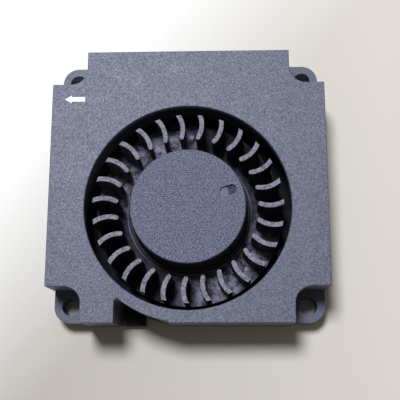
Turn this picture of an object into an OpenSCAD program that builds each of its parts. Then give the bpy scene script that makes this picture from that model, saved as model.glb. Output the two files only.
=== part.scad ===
// Centrifugal blower, 45 mm frame: scroll housing, cover, 27-blade impeller and a
// four-pole brushless motor inside the hub.
// Origin at the centre of the footprint, on the base plane. +Z points out of the inlet.
// The impeller turns counter-clockwise seen from +Z and blows out of the -X side.

/* [Housing] */
// Width of the housing along X
housing_w = 45; // [44.5:0.1:47]
// Depth of the housing along Y
housing_d = 45; // [44.5:0.1:47]
// Height of the closed housing
housing_h = 10; // [9.8:0.1:12]
// Thickness of the side walls and of the scroll wall
wall_t = 1; // [0.8:0.05:1.2]
// Thickness of the floor
floor_t = 1.5; // [1.3:0.05:1.7]
// Thickness of the cover plate
cover_t = 1.2; // [1:0.05:1.4]
// Distance from the -Y edge to the impeller axis
axis_edge = 18.6; // [18.4:0.05:19.2]
// Rounding of the inlet's upper rim
rim_r = 0.2; // [0.1:0.05:0.3]

/* [Scroll and outlet] */
// How far the first scroll arc's centre lies behind the impeller axis
cutoff_shift = 0.8; // [0.6:0.05:0.9]
// Y distance from the impeller axis down to the outlet's lower lip
outlet_lip = 2.1; // [1.8:0.1:3]
// Rounding of the cut-off nose
nose_r = 1; // [0.6:0.05:1.1]
// Radial gap between the blade tips and the inlet's rim
inlet_gap = 1.15; // [0.9:0.05:1.2]

/* [Ears] */
// Distance from the housing's edges to each hole's centre
hole_inset = 3; // [2.9:0.05:3.2]
// Radius of the screw holes
hole_r = 1.4; // [1.1:0.05:1.6]
// Radius of the notch in the housing's corner, about the hole
notch_r = 2.7; // [2.5:0.05:2.9]
// Radius of the ear's outer corner, about the hole
ear_r = 2.7; // [2.4:0.05:2.8]
// Height of the ears
ear_h = 3.35; // [2.5:0.05:4.5]

/* [Lead exit] */
// Distance from the impeller axis to the pocket's straight side
pocket_x = 11.5; // [10.8:0.1:11.8]
// Depth of the pocket from the -Y edge
pocket_depth = 3.8; // [3.6:0.1:4.2]
// Length of the pocket along the -Y edge
pocket_w = 8.5; // [7.5:0.1:9]
// Rounding of the pocket's closed corner
pocket_r = 0.6; // [0.3:0.05:0.8]
// Width of the shelf over the leads at the pocket's foot
shelf_w = 4.2; // [3.6:0.1:5]
// Width of the lead channel under the floor
channel_w = 2.6; // [2:0.1:3]
// Depth of the lead channel
channel_depth = 0.9; // [0.7:0.05:1]
// Direction of the lead channel, seen from the impeller axis
channel_angle = 239; // [236:0.5:241]

/* [Cover snaps] */
// Width of each snap tongue
snap_w = 3.4; // [2.6:0.1:4]
// Thickness of each snap tongue
snap_t = 0.7; // [0.5:0.05:0.9]
// Length of each snap tongue below the cover
snap_l = 3.4; // [3:0.1:4]
// Height of the hook on each tongue
hook_h = 1.5; // [1.2:0.1:1.8]
// Clearance round tongues and hooks
snap_gap = 0.12; // [0.08:0.01:0.2]
// Distance of the snaps from the middle of their sides
snap_pos = 13; // [12.6:0.1:13.4]
// Distance of the outlet side's snap below the outlet's lip
snap_below_lip = 4; // [3.8:0.1:4.4]

/* [Impeller] */
// Number of blades
blade_count = 27; // [24:1:30]
// Radius at the blades' outer tips
blade_out_r = 15.5; // [15.2:0.05:15.7]
// Radius at the blades' inner tips
blade_in_r = 11.3; // [11.2:0.05:11.8]
// Thickness of a blade
blade_t = 0.75; // [0.6:0.05:0.85]
// Radius of a blade's curve, along its middle
blade_curve_r = 4.4; // [4:0.1:6]
// Direction of the first blade's chord
blade_phase = 1.95; // [0:0.05:13]
// How far the blades' top edges lie below the cover's face
blade_drop = 1; // [0.8:0.05:1.6]
// Gap between the back disc and the floor
disc_gap = 0.7; // [0.6:0.05:0.9]
// Thickness of the back disc
disc_t = 0.8; // [0.6:0.05:0.9]
// How far the back disc reaches past the blades' tips
disc_rim = 0.1; // [0.05:0.05:0.2]
// Radius of the hub at its top
hub_r = 9.4; // [9.3:0.05:9.6]
// How far the hub's face lies below the cover's face
hub_drop = 0.3; // [0.2:0.05:0.5]
// Thickness of the hub's face
hub_face_t = 0.8; // [0.7:0.05:0.9]
// Thickness of the hub's side wall at its top
hub_wall_t = 0.7; // [0.6:0.05:0.8]
// Rounding of the hub's upper rim
hub_rim_r = 0.3; // [0.2:0.05:0.4]
// Growth of the hub's radius down to its shoulder
hub_draft = 0.35; // [0.2:0.05:0.4]
// Width of the shoulder ring at the hub's foot
shoulder_w = 0.5; // [0.3:0.05:0.55]
// Height of the shoulder ring above the disc
shoulder_h = 1.2; // [0.8:0.1:2]
// Radius of the ejector pips on the disc
pip_r = 0.4; // [0.2:0.05:0.5]
// Height of the ejector pips
pip_h = 0.15; // [0.05:0.05:0.3]
// Length of the gate mark in the hub's face
gate_l = 2.7; // [2:0.1:3]
// Width of the gate mark
gate_w = 1.6; // [1:0.1:1.8]
// Greatest depth of the gate mark
gate_depth = 0.4; // [0.2:0.05:0.5]

/* [Shaft and bearing] */
// Radius of the shaft
shaft_r = 0.75; // [0.6:0.05:0.8]
// Radial running clearance of the shaft in its bearing
bearing_gap = 0.03; // [0.02:0.005:0.05]
// Outer radius of the sleeve bearing
bearing_r = 2.25; // [2.1:0.05:2.35]
// Length of the sleeve bearing
bearing_l = 4.1; // [3.6:0.05:4.5]
// Wall of the bearing tube
tube_wall = 0.75; // [0.6:0.05:0.8]
// Thickness of the floor that closes the tube
tube_floor_t = 0.7; // [0.6:0.05:0.8]
// Wall of the moulded boss round the tube
boss_wall = 0.8; // [0.6:0.05:0.9]
// Thickness of the thrust pad
pad_t = 0.3; // [0.2:0.05:0.35]
// End play between shaft tip and thrust pad
end_play = 0.03; // [0.02:0.01:0.05]
// Thickness of the retaining ring
ring_t = 0.25; // [0.2:0.05:0.25]
// Axial gap on either side of the retaining ring
ring_gap = 0.3; // [0.25:0.05:0.3]
// Depth of the shaft's groove for the retaining ring
groove_depth = 0.2; // [0.15:0.05:0.25]
// Thickness of the slinger washer
slinger_t = 0.2; // [0.15:0.05:0.25]
// Radial gap from ring and washer to the bearing tube's bore
washer_gap = 0.4; // [0.35:0.05:0.5]
// Radius of the shaft bush's barrel
bush_r = 1.7; // [1.5:0.05:1.8]
// Radius of the bush's flange under the yoke
bush_flange_r = 2.1; // [1.9:0.05:2.15]
// Thickness of the bush's flange
bush_flange_t = 0.6; // [0.4:0.05:0.7]
// Radius of the bush's neck through the yoke
bush_neck_r = 1.5; // [1.3:0.05:1.6]
// Gap between the slinger washer and the bush
bush_gap = 0.25; // [0.2:0.05:0.3]

/* [Motor] */
// Thickness of the yoke's sheet steel
yoke_t = 0.6; // [0.5:0.05:0.6]
// Radial thickness of the magnet ring
magnet_t = 1; // [0.8:0.05:1.1]
// Height of the magnet ring
magnet_h = 3.8; // [3.4:0.1:4.2]
// How far the magnet ring stands back from the yoke's open rim
magnet_setback = 0.3; // [0.1:0.1:0.5]
// Radial gap between magnet and stator
air_gap = 0.3; // [0.25:0.05:0.4]
// Height of the laminated stator core
core_h = 2.2; // [2:0.1:2.4]
// Number of stator poles
pole_count = 4; // [4:1:4]
// Width of a stator tooth
tooth_w = 2; // [1.8:0.1:2.2]
// Radial thickness of a pole shoe
shoe_t = 0.8; // [0.6:0.05:0.9]
// Angle that a pole shoe covers
shoe_angle = 74; // [68:1:76]
// Radial thickness of the core's inner ring
core_ring_t = 1; // [0.8:0.05:1.1]
// Thickness of the plastic insulators
insulator_t = 0.4; // [0.3:0.05:0.4]
// Thickness of the winding on a tooth
coil_build = 0.55; // [0.4:0.05:0.6]
// Gap between a coil and the pieces at its ends
coil_gap = 0.1; // [0.05:0.05:0.15]
// Height of the boss that the stator sits on, above the floor
boss_h = 2.1; // [2.05:0.05:2.3]
// How far the bearing tube stands out of the upper insulator
tube_over = 0.3; // [0.1:0.1:0.4]
// Thickness of the circuit board
board_t = 0.6; // [0.5:0.05:0.65]
// Radial gap from the circuit board to the yoke's outside
board_gap = 0.4; // [0.3:0.05:0.6]
// Distance of the parts on the board from its edge, to their middle
chip_inset = 2.1; // [2:0.05:2.2]
// Distance of the winding pins from the boss, to their middle
pin_inset = 1; // [0.9:0.05:1.1]
// Radius of a winding pin
pin_r = 0.22; // [0.2:0.01:0.25]
// Length of the winding pins above the lower insulator
pin_stand = 0.35; // [0.2:0.05:0.5]

/* [Hidden] */
$fn = 96;
over = 0.5;                 // overshoot of cuts past the faces they open
fit_gap = 0.05;             // clearance between pieces that are slipped together
half_w = housing_w / 2;
half_d = housing_d / 2;
axis_y = axis_edge - half_d;
wall_top = housing_h - cover_t;

// Scroll: three tangent arcs. The first runs from the cut-off to the -Y wall, the second
// on to the +X wall, the third to the +Y wall, where the straight outlet takes over.
first_y = axis_y - cutoff_shift;
first_r = axis_edge - wall_t - cutoff_shift;
second_r = half_w - wall_t;
second_y = second_r - half_d + wall_t;
third_r = half_d - wall_t - second_y;
third_x = half_w - wall_t - third_r;
lip_y = axis_y - outlet_lip;
mouth_top = half_d - hole_inset - notch_r - wall_t;
nose_x = -sqrt(pow(first_r + nose_r, 2) - pow(lip_y - nose_r - first_y, 2));

inlet_r = blade_out_r + inlet_gap;

// Heights of the rotor
disc_z = floor_t + disc_gap;
disc_top = disc_z + disc_t;
disc_r = blade_out_r + disc_rim;
blade_top = housing_h - blade_drop;
hub_top = housing_h - hub_drop;
yoke_top = hub_top - hub_face_t;
yoke_r = hub_r - hub_wall_t;
yoke_in_r = yoke_r - yoke_t;
yoke_z = disc_top;
magnet_in_r = yoke_in_r - magnet_t;
magnet_z = yoke_z + magnet_setback;
shoulder_r = hub_r + hub_draft + shoulder_w;
foot_r = 0.5;               // fillet where the shoulder meets the disc
pip_circle_r = (blade_in_r + blade_out_r) / 2;
gate_x = 6.5;               // place of the gate mark's centre, from the axis
gate_y = 2.45;
gate_turn = 17;             // turn of the gate mark's length from +X
gate_slant = 4;             // slope of the gate mark's floor
pip_gaps = [6, 15, 23];     // gaps between blades that hold an ejector pip

// Heights of the stator and bearing
tube_in_r = bearing_r;
tube_r = bearing_r + tube_wall;
boss_r = tube_r + boss_wall;
boss_top = floor_t + boss_h;
core_z = boss_top + insulator_t;
core_top = core_z + core_h;
core_ring_r = tube_r + core_ring_t;
stator_r = magnet_in_r - air_gap;
shoe_in_r = stator_r - shoe_t;
coil_half_w = tooth_w / 2 + fit_gap + coil_build;
coil_in_r = core_ring_r + coil_gap;
coil_out_r = sqrt(pow(shoe_in_r, 2) - pow(coil_half_w, 2)) - coil_gap;
pad_top = tube_floor_t + pad_t;
shaft_z = pad_top + end_play;
ring_z = pad_top + ring_gap;
bearing_z = ring_z + ring_t + ring_gap;
bearing_top = bearing_z + bearing_l;
tube_top = core_top + insulator_t + tube_over;
slinger_z = bearing_top + washer_gap / 3;
bush_z = slinger_z + slinger_t + bush_gap;
flange_z = yoke_top - yoke_t - bush_flange_t;
board_r = yoke_r - board_gap;
board_top = floor_t + board_t;
chip_circle_r = board_r - chip_inset;
pin_circle_r = boss_r + pin_inset;
pin_angle = 60;             // direction of a winding pin, from its tooth

// Circuit parts: [length, width, height, angle]
driver_size = [2.9, 1.6, 0.7, 25];
hall_size = [1.9, 1.4, 0.6, 120];
capacitor_size = [1.6, 0.8, 0.7, 180];
diode_size = [1.8, 1.2, 0.7, 300];
resistor_size = [1, 0.5, 0.35, 205];
resistor_count = 2;
resistor_step = 14;

plastic = [0.24, 0.24, 0.29];
steel = [0.62, 0.63, 0.65];
brass = [0.78, 0.64, 0.33];
bronze = [0.55, 0.42, 0.28];
copper = [0.72, 0.36, 0.18];
board_green = [0.12, 0.35, 0.22];
insulator_white = [0.86, 0.85, 0.80];
chip_black = [0.08, 0.08, 0.09];
magnet_grey = [0.22, 0.21, 0.21];

// ---- Points of arcs ----

// Points of an arc, both ends included
function arc_points(centre, r, from, to, steps) =
    [for (i = [0 : steps])
        let (angle = from + (to - from) * i / steps)
        centre + r * [cos(angle), sin(angle)]];

// Points of an arc without its two ends
function arc_inside(centre, r, from, to, steps) =
    [for (i = [1 : steps - 1])
        let (angle = from + (to - from) * i / steps)
        centre + r * [cos(angle), sin(angle)]];

// ---- Plan shapes of the housing ----

// Places children at the four screw holes, each turned so that its corner is (+, +)
module at_holes() {
    for (mx = [0, 1])
        for (my = [0, 1])
            mirror([mx, 0])
                mirror([0, my])
                    translate([half_w - hole_inset, half_d - hole_inset])
                        children();
}

// Places solid children at the four screw holes
module at_holes_3d() {
    for (mx = [0, 1])
        for (my = [0, 1])
            mirror([mx, 0, 0])
                mirror([0, my, 0])
                    translate([half_w - hole_inset, half_d - hole_inset, 0])
                        children();
}

// Square plan with its four corners notched round the holes, shrunk by inset
module notched_plan(inset) {
    reach = hole_inset + over;
    r = notch_r + inset;
    difference() {
        square([housing_w - 2 * inset, housing_d - 2 * inset], center = true);
        at_holes() {
            circle(r = r);
            translate([-r, 0])
                square([r + reach, reach]);
            translate([0, -r])
                square([reach, r + reach]);
        }
    }
}

// One ear: a round corner about the hole, run back into the notch's walls
module ear_plan() {
    root = notch_r + wall_t / 2;
    circle(r = ear_r);
    translate([-root, -root])
        square([root, root + ear_r]);
    translate([-root, -root])
        square([root + ear_r, root]);
}

// The scroll's plan, grown outwards by grow
module scroll_plan(grow) {
    big = housing_w + housing_d;
    // cut-off to the -Y wall
    intersection() {
        translate([0, first_y])
            circle(r = first_r + grow);
        translate([-big, -big])
            square([big, big + lip_y + first_r / 2]);
    }
    // -Y wall to the +X wall
    intersection() {
        translate([0, second_y])
            circle(r = second_r + grow);
        translate([0, second_y - big])
            square([big, big]);
    }
    // +X wall to the +Y wall
    intersection() {
        translate([third_x, second_y])
            circle(r = third_r + grow);
        translate([third_x, second_y])
            square([big, big]);
    }
    // straight run to the outlet
    translate([-half_w - over, lip_y - grow])
        square([half_w + over, second_y - lip_y + grow]);
    translate([-half_w - over, second_y])
        square([half_w + over + third_x, half_d - wall_t - second_y + grow]);
}

// Material that the cut-off nose loses to its rounding
module nose_relief() {
    nose = [nose_x, lip_y - nose_r];
    back = [nose_x, lip_y - nose_r - first_y] / (first_r + nose_r);
    on_arc = [back[0] * first_r, first_y + back[1] * first_r];
    difference() {
        polygon([nose, [nose_x, lip_y], [on_arc[0] + nose_r, lip_y + nose_r / 2], on_arc]);
        translate(nose)
            circle(r = nose_r);
    }
}

// The air's path: the scroll inside the walls, and the mouth through the -X wall
module air_plan() {
    intersection() {
        notched_plan(wall_t);
        union() {
            scroll_plan(0);
            nose_relief();
        }
    }
    translate([-half_w - over, lip_y])
        square([2 * wall_t + over, mouth_top - lip_y]);
}

// The lead pocket's plan, grown by grow
module pocket_plan(grow) {
    left = -pocket_x - grow;
    top = -half_d + pocket_depth + grow;
    r = pocket_r + grow;
    difference() {
        union() {
            translate([left + r, -half_d - over])
                square([pocket_w + grow - r, pocket_depth + over + grow]);
            translate([left, -half_d - over])
                square([pocket_w + grow, pocket_depth + over + grow - r]);
            translate([left + r, top - r])
                circle(r = r);
        }
        translate([0, first_y])
            circle(r = first_r + wall_t - grow);
    }
}

// Hollow corners between the scroll wall and the side walls
module corner_plan() {
    difference() {
        notched_plan(wall_t);
        scroll_plan(wall_t);
        pocket_plan(wall_t);
    }
}

// ---- Snaps ----

// Places children at each snap: x runs outwards from the side's face, y along the side
module at_snaps() {
    for (snap = [[0, half_w, -snap_pos], [0, half_w, snap_pos], [90, half_d, -snap_pos],
                 [180, half_w, snap_below_lip - lip_y]])
        rotate([0, 0, snap[0]])
            translate([snap[1], snap[2], 0])
                children();
}

// Window in the side wall that the hook catches
module snap_window() {
    w = snap_w + 2 * snap_gap;
    translate([-wall_t - over / 2, -w / 2, wall_top - snap_l - snap_gap])
        cube([wall_t + over, w, hook_h + 2 * snap_gap]);
}

// Tongue with its hook, hanging from the cover
module snap_tongue() {
    back = -wall_t - snap_gap - snap_t;
    front = -wall_t - snap_gap;
    tip_z = wall_top - snap_l;
    hook_x = -wall_t / 5;
    blunt = hook_h / 4;
    translate([0, snap_w / 2, 0])
        rotate([90, 0, 0])
            linear_extrude(snap_w)
                polygon([[back, wall_top + over / 2], [front, wall_top + over / 2],
                         [front, tip_z + hook_h], [hook_x, tip_z + hook_h],
                         [hook_x, tip_z + hook_h - blunt], [front, tip_z], [back, tip_z]]);
}

// ---- Housing ----

// Base: floor, scroll wall, side walls, ears, motor boss and lead exit in one moulding
module housing_base() {
    recess_r = 12;
    recess_depth = 0.15;
    window_margin = 0.85;
    window_in = boss_r + window_margin;
    window_out = board_r - window_margin;
    color(plastic)
        difference() {
            union() {
                linear_extrude(wall_top)
                    notched_plan(0);
                linear_extrude(ear_h)
                    at_holes()
                        ear_plan();
            }
            // air path and hollow corners
            difference() {
                translate([0, 0, floor_t])
                    linear_extrude(wall_top)
                        air_plan();
                translate([0, axis_y, 0])
                    cylinder(r = boss_r, h = boss_top);
            }
            translate([0, 0, floor_t])
                linear_extrude(wall_top)
                    corner_plan();
            // pocket above its shelf, and its open end beside the shelf
            translate([0, 0, floor_t])
                linear_extrude(housing_h)
                    pocket_plan(0);
            translate([0, 0, -over])
                linear_extrude(housing_h)
                    intersection() {
                        pocket_plan(0);
                        translate([shelf_w - pocket_x, -half_d - over])
                            square([pocket_w, pocket_depth + 2 * over]);
                    }
            // screw holes
            at_holes_3d()
                translate([0, 0, -over])
                    cylinder(r = hole_r, h = ear_h + 2 * over);
            at_snaps()
                snap_window();
            translate([0, axis_y, 0]) {
                // seat of the bearing tube
                translate([0, 0, tube_floor_t])
                    cylinder(r = tube_r, h = boss_top);
                // shallow round recess underneath
                translate([0, 0, -over])
                    cylinder(r = recess_r, h = over + recess_depth);
                // window under the solder pads, and the channel to the pocket
                rotate([0, 0, channel_angle]) {
                    translate([window_in, -channel_w / 2, -over])
                        cube([window_out - window_in, channel_w, floor_t + 2 * over]);
                    translate([window_in, -channel_w / 2, -over])
                        cube([axis_edge - window_in + over, channel_w, over + channel_depth]);
                }
            }
        }
}

// Cover: plate with the inlet's eye, the lead pocket's notch and four snap tongues
module top_cover() {
    color(plastic) {
        difference() {
            translate([0, 0, wall_top])
                linear_extrude(cover_t)
                    notched_plan(0);
            translate([0, 0, wall_top - over])
                linear_extrude(cover_t + 2 * over)
                    pocket_plan(0);
            translate([0, axis_y, 0])
                inlet_cut();
        }
        at_snaps()
            snap_tongue();
    }
}

// Round eye with a rolled upper rim
module inlet_cut() {
    steps = 6;
    rim = arc_points([inlet_r + rim_r, housing_h - rim_r], rim_r, 180, 90, steps);
    rotate_extrude()
        polygon(concat([[0, wall_top - over], [inlet_r, wall_top - over]], rim,
                       [[inlet_r + rim_r, housing_h + over], [0, housing_h + over]]));
}

// ---- Bearing ----

module tube_at(r_out, r_in, z, h) {
    translate([0, axis_y, z])
        difference() {
            cylinder(r = r_out, h = h);
            translate([0, 0, -over])
                cylinder(r = r_in, h = h + 2 * over);
        }
}

// Turned tube that holds the bearing and carries the stator
module bearing_tube() {
    color(brass)
        tube_at(tube_r, tube_in_r, tube_floor_t, tube_top - tube_floor_t);
}

// Sintered sleeve, with a shallow oil groove round its middle
module sleeve_bearing() {
    relief = 0.15;
    relief_h = bearing_l / 3;
    color(bronze)
        difference() {
            tube_at(bearing_r, shaft_r + bearing_gap, bearing_z, bearing_l);
            tube_at(bearing_r + over, bearing_r - relief, bearing_z + relief_h, relief_h);
        }
}

// Disc that the shaft's tip turns on
module thrust_pad() {
    color(insulator_white)
        translate([0, axis_y, tube_floor_t])
            cylinder(r = tube_in_r - fit_gap, h = pad_t);
}

// ---- Circuit board ----

// Block on the board's upper face, with its length across the radius
module chip(size, turn = 0) {
    translate([0, axis_y, board_top])
        rotate([0, 0, size[3] + turn])
            translate([chip_circle_r - size[1] / 2, -size[0] / 2, 0])
                cube([size[1], size[0], size[2]]);
}

// Places children at the winding pins
module at_pins() {
    for (i = [0 : pole_count - 1])
        rotate(pin_angle + i * 360 / pole_count)
            translate([pin_circle_r, 0])
                children();
}

module circuit_board() {
    color(board_green)
        translate([0, axis_y, floor_t])
            linear_extrude(board_t)
                difference() {
                    circle(r = board_r);
                    circle(r = boss_r + fit_gap);
                    at_pins()
                        circle(r = pin_r + fit_gap);
                }
}

module driver_ic() {
    color(chip_black)
        chip(driver_size);
}

module hall_sensor() {
    color(chip_black)
        chip(hall_size);
}

module chip_capacitor() {
    color(bronze)
        chip(capacitor_size);
}

module reverse_diode() {
    color(chip_black)
        chip(diode_size);
}

module chip_resistors() {
    color(chip_black)
        for (i = [0 : resistor_count - 1])
            chip(resistor_size, i * resistor_step);
}

// Pins that take the winding ends down to the board
module winding_pins() {
    color(brass)
        translate([0, axis_y, floor_t + fit_gap])
            linear_extrude(core_z + pin_stand - floor_t - fit_gap)
                at_pins()
                    circle(r = pin_r);
}

// ---- Stator ----

// Plan of the core: inner ring, teeth and pole shoes
module core_plan() {
    difference() {
        union() {
            circle(r = core_ring_r);
            for (i = [0 : pole_count - 1])
                rotate(i * 360 / pole_count) {
                    translate([0, -tooth_w / 2])
                        square([stator_r - shoe_t / 2, tooth_w]);
                    shoe_plan(stator_r, shoe_in_r, shoe_angle);
                }
        }
        circle(r = tube_r);
    }
}

// Arc-shaped pole shoe about the +X axis
module shoe_plan(r_out, r_in, angle) {
    reach = 2 * r_out;
    intersection() {
        difference() {
            circle(r = r_out);
            circle(r = r_in);
        }
        polygon([[0, 0], [reach * cos(angle / 2), -reach * sin(angle / 2)],
                 [reach * cos(angle / 2), reach * sin(angle / 2)]]);
    }
}

module stator_core() {
    color(steel)
        translate([0, axis_y, core_z])
            linear_extrude(core_h)
                core_plan();
}

// Insulator plate with guard walls outside the windings
module insulator() {
    guard_t = 0.3;
    linear_extrude(insulator_t)
        core_plan();
    linear_extrude(insulator_t + coil_build)
        for (i = [0 : pole_count - 1])
            rotate(i * 360 / pole_count)
                shoe_plan(shoe_in_r + guard_t, shoe_in_r, shoe_angle / 2);
}

// Lugs of the lower insulator that hold the winding pins
module pin_lugs() {
    lug_r = 0.55;
    difference() {
        for (i = [0 : pole_count - 1])
            rotate(pin_angle + i * 360 / pole_count) {
                translate([tube_r + fit_gap, -lug_r])
                    square([pin_circle_r - tube_r - fit_gap, 2 * lug_r]);
                translate([pin_circle_r, 0])
                    circle(r = lug_r);
            }
        at_pins()
            circle(r = pin_r + fit_gap / 2);
    }
}

module upper_insulator() {
    color(insulator_white)
        translate([0, axis_y, core_top])
            insulator();
}

module lower_insulator() {
    color(insulator_white)
        translate([0, axis_y, core_z])
            mirror([0, 0, 1]) {
                insulator();
                linear_extrude(insulator_t)
                    pin_lugs();
            }
}

// Winding on one tooth: a rounded ring wound round core and insulators
module coil(index) {
    inner_w = tooth_w + 2 * fit_gap;
    inner_h = core_h + 2 * insulator_t + 2 * fit_gap;
    color(copper)
        translate([0, axis_y, core_z + core_h / 2])
            rotate([0, 0, index * 360 / pole_count])
                translate([coil_in_r, 0, 0])
                    rotate([90, 0, 90])
                        linear_extrude(coil_out_r - coil_in_r)
                            difference() {
                                rounded_rect(inner_w + 2 * coil_build, inner_h + 2 * coil_build,
                                             coil_build);
                                square([inner_w, inner_h], center = true);
                            }
}

// Rectangle with round corners, centred
module rounded_rect(w, h, r) {
    square([w - 2 * r, h], center = true);
    square([w, h - 2 * r], center = true);
    for (sx = [-1, 1])
        for (sy = [-1, 1])
            translate([sx * (w / 2 - r), sy * (h / 2 - r)])
                circle(r = r);
}

module coil_1() { coil(0); }
module coil_2() { coil(1); }
module coil_3() { coil(2); }
module coil_4() { coil(3); }

// ---- Rotor ----

// Section of one blade, chord along +X and hollow side to +Y: a curved strip, round where the
// air enters and cut along the outer circle where it leaves
module blade_plan() {
    half_chord = (blade_out_r - blade_in_r - blade_t) / 2;
    mid_r = (blade_out_r + blade_in_r) / 2;
    half_angle = asin(half_chord / blade_curve_r);
    centre = [mid_r, blade_curve_r * cos(half_angle)];
    start = 270 - half_angle;
    in_tip = centre + blade_curve_r * [cos(start), sin(start)];
    back_r = blade_curve_r + blade_t / 2;
    hollow_r = blade_curve_r - blade_t / 2;
    side_steps = 6;
    tip_steps = 4;
    polygon(concat(arc_points(centre, back_r, start, rim_crossing(centre, back_r), side_steps),
                   arc_points(centre, hollow_r, rim_crossing(centre, hollow_r), start, side_steps),
                   arc_inside(in_tip, blade_t / 2, start + 180, start + 360, tip_steps)));
}

// Angle at which an arc about centre crosses the blades' outer circle, on its -Y side
function rim_crossing(centre, r) =
    let (reach = norm(centre))
    360 + atan2(centre.y, centre.x)
        - acos((pow(blade_out_r, 2) - pow(reach, 2) - pow(r, 2)) / (2 * reach * r));

// Half section of hub and back disc, from the axis outwards
module hub_section() {
    steps = 6;
    shoulder_top = disc_top + shoulder_h;
    rim = arc_points([hub_r - hub_rim_r, hub_top - hub_rim_r], hub_rim_r, 0, 90, steps);
    foot = arc_points([shoulder_r + foot_r, disc_top + foot_r], foot_r, 270, 180, steps);
    polygon(concat([[0, yoke_top], [yoke_r, yoke_top], [yoke_r, disc_z], [disc_r, disc_z],
                    [disc_r, disc_top]],
                   foot, [[shoulder_r, shoulder_top], [hub_r + hub_draft, shoulder_top]],
                   rim, [[0, hub_top]]));
}

// Gate mark in the hub's face: an oval pit whose floor slants down away from the axis
module gate_mark() {
    translate([gate_x, gate_y, hub_top])
        rotate([0, 0, gate_turn])
            intersection() {
                translate([0, 0, -gate_depth])
                    linear_extrude(gate_depth + over)
                        rounded_rect(gate_l, gate_w, gate_w / 2 - fit_gap);
                translate([-gate_l, -gate_w, -gate_depth])
                    rotate([0, gate_slant, 0])
                        cube([3 * gate_l, 2 * gate_w, gate_l]);
            }
}

// Ejector pips, each midway between two blades
module disc_pips() {
    for (gap = pip_gaps)
        rotate([0, 0, blade_phase + (gap + 0.5) * 360 / blade_count])
            translate([pip_circle_r, 0, disc_z + disc_t / 2])
                cylinder(r = pip_r, h = disc_t / 2 + pip_h);
}

module impeller() {
    color(plastic)
        translate([0, axis_y, 0]) {
            difference() {
                rotate_extrude()
                    hub_section();
                gate_mark();
            }
            disc_pips();
            translate([0, 0, disc_top - disc_t / 2])
                linear_extrude(blade_top - disc_top + disc_t / 2)
                    for (i = [0 : blade_count - 1])
                        rotate(blade_phase + i * 360 / blade_count)
                            blade_plan();
        }
}

// Deep-drawn steel cup that closes the magnet's field
module rotor_yoke() {
    bend_r = 0.3;
    color(steel)
        translate([0, axis_y, 0])
            rotate_extrude()
                polygon([[bush_neck_r, yoke_top - yoke_t], [yoke_in_r, yoke_top - yoke_t],
                         [yoke_in_r, yoke_z], [yoke_r, yoke_z], [yoke_r, yoke_top - bend_r],
                         [yoke_r - bend_r, yoke_top], [bush_neck_r, yoke_top]]);
}

module rotor_magnet() {
    color(magnet_grey)
        tube_at(yoke_in_r, magnet_in_r, magnet_z, magnet_h);
}

// Turned bush: barrel, flange under the yoke and neck through it, pressed on the shaft
module shaft_bush() {
    color(brass)
        translate([0, axis_y, 0])
            rotate_extrude()
                polygon([[shaft_r, bush_z], [bush_r, bush_z], [bush_r, flange_z],
                         [bush_flange_r, flange_z],
                         [bush_flange_r, yoke_top - yoke_t], [bush_neck_r, yoke_top - yoke_t],
                         [bush_neck_r, yoke_top], [shaft_r, yoke_top]]);
}

// Ground shaft with a groove for the ring and a domed tip
module shaft() {
    tip_h = ring_gap / 2;
    color(steel)
        translate([0, axis_y, 0])
            rotate_extrude()
                polygon([[0, shaft_z], [shaft_r / 2, shaft_z], [shaft_r, shaft_z + tip_h],
                         [shaft_r, ring_z], [shaft_r - groove_depth, ring_z],
                         [shaft_r - groove_depth, ring_z + ring_t], [shaft_r, ring_z + ring_t],
                         [shaft_r, yoke_top], [0, yoke_top]]);
}

// Washer that throws oil back into the tube
module slinger_washer() {
    color(chip_black)
        tube_at(tube_in_r - washer_gap, shaft_r, slinger_z, slinger_t);
}

// Split ring in the shaft's groove, under the bearing
module retaining_ring() {
    color(insulator_white)
        difference() {
            tube_at(tube_in_r - washer_gap, shaft_r - groove_depth, ring_z, ring_t);
            translate([0, axis_y - shaft_r / 2, ring_z - over])
                cube([tube_in_r, shaft_r, ring_t + 2 * over]);
        }
}

housing_base();
top_cover();
bearing_tube();
sleeve_bearing();
thrust_pad();
circuit_board();
driver_ic();
hall_sensor();
chip_capacitor();
chip_resistors();
reverse_diode();
winding_pins();
stator_core();
lower_insulator();
upper_insulator();
coil_1();
coil_2();
coil_3();
coil_4();
impeller();
rotor_yoke();
rotor_magnet();
shaft_bush();
shaft();
slinger_washer();
retaining_ring();
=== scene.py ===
"""Dresses the 45 mm centrifugal blower: finishes, softened edges, printed arrow, studio.

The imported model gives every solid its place. The three mouldings that show, which are the
housing's base, its cover and the impeller, are redrawn with the small radii and surface
grain of real mouldings. All other pieces keep their solids and get their finishes.

Lengths are in millimetres until a mesh, a lamp or the camera takes them in metres. Angles
are in degrees, counted from +X.
"""

import logging
import math
from dataclasses import dataclass
from enum import Enum
from typing import Any, Protocol, Sequence

import bmesh
import bpy
from mathutils import Matrix, Vector

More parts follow.
